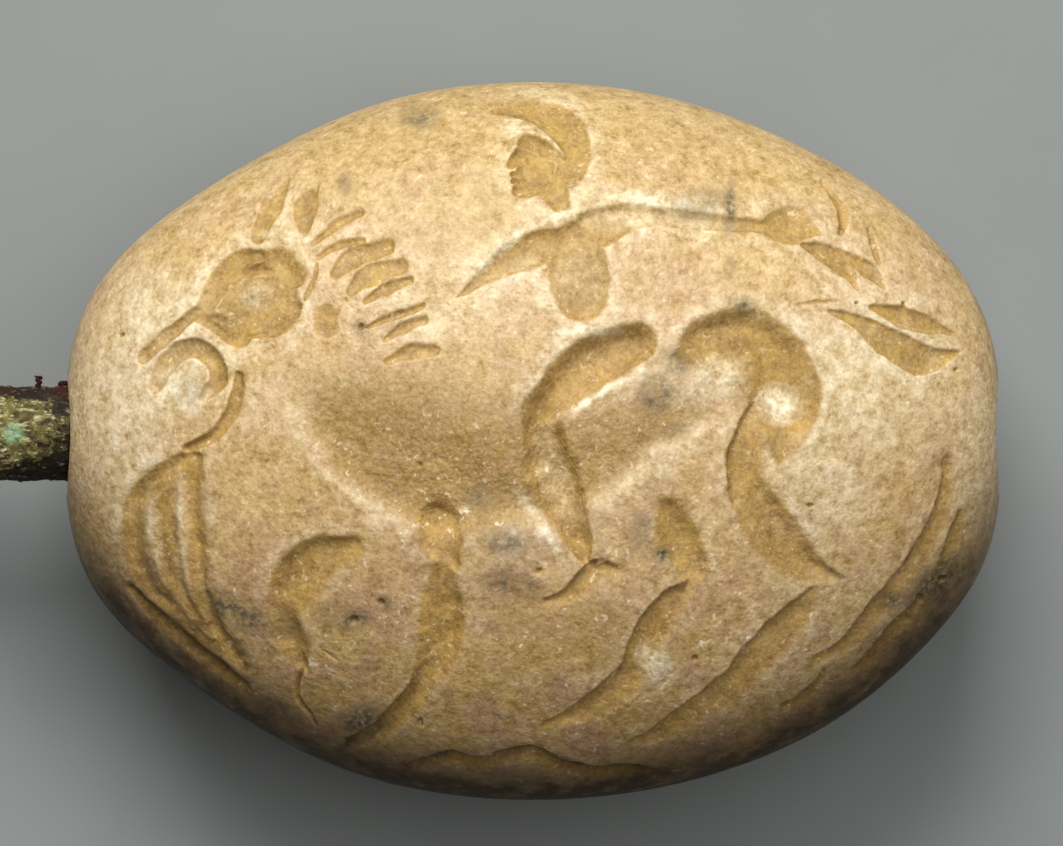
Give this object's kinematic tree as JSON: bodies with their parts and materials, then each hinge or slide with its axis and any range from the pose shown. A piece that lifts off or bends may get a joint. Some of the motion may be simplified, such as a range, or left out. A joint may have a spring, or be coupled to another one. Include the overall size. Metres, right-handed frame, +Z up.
{
  "type": "intaglio seal",
  "caption": "Biconvex pierced stone seal, a horse and rider cut into its upper face, with the stub of a corroded bronze pin in its bore.",
  "frame": {"origin": "middle of the small flat rest spot under the stone, as it lies with the carved face up", "axes": "+X along the bore, away from the pin's stub; +Y towards the rider's head; +Z up, out of the carved face"},
  "size_m": [0.0304, 0.0198, 0.0111],
  "materials": {
    "stone": "polished by wear, waxy, pale tan with golden brown hollows and a dark brown lower rim",
    "bronze": "corroded bronze, crust of olive, yellow green and turquoise over black"
  },
  "bodies": {
    "root": {"seal_stone": "stone", "bronze_pin": "bronze"}
  },
  "joints": []
}
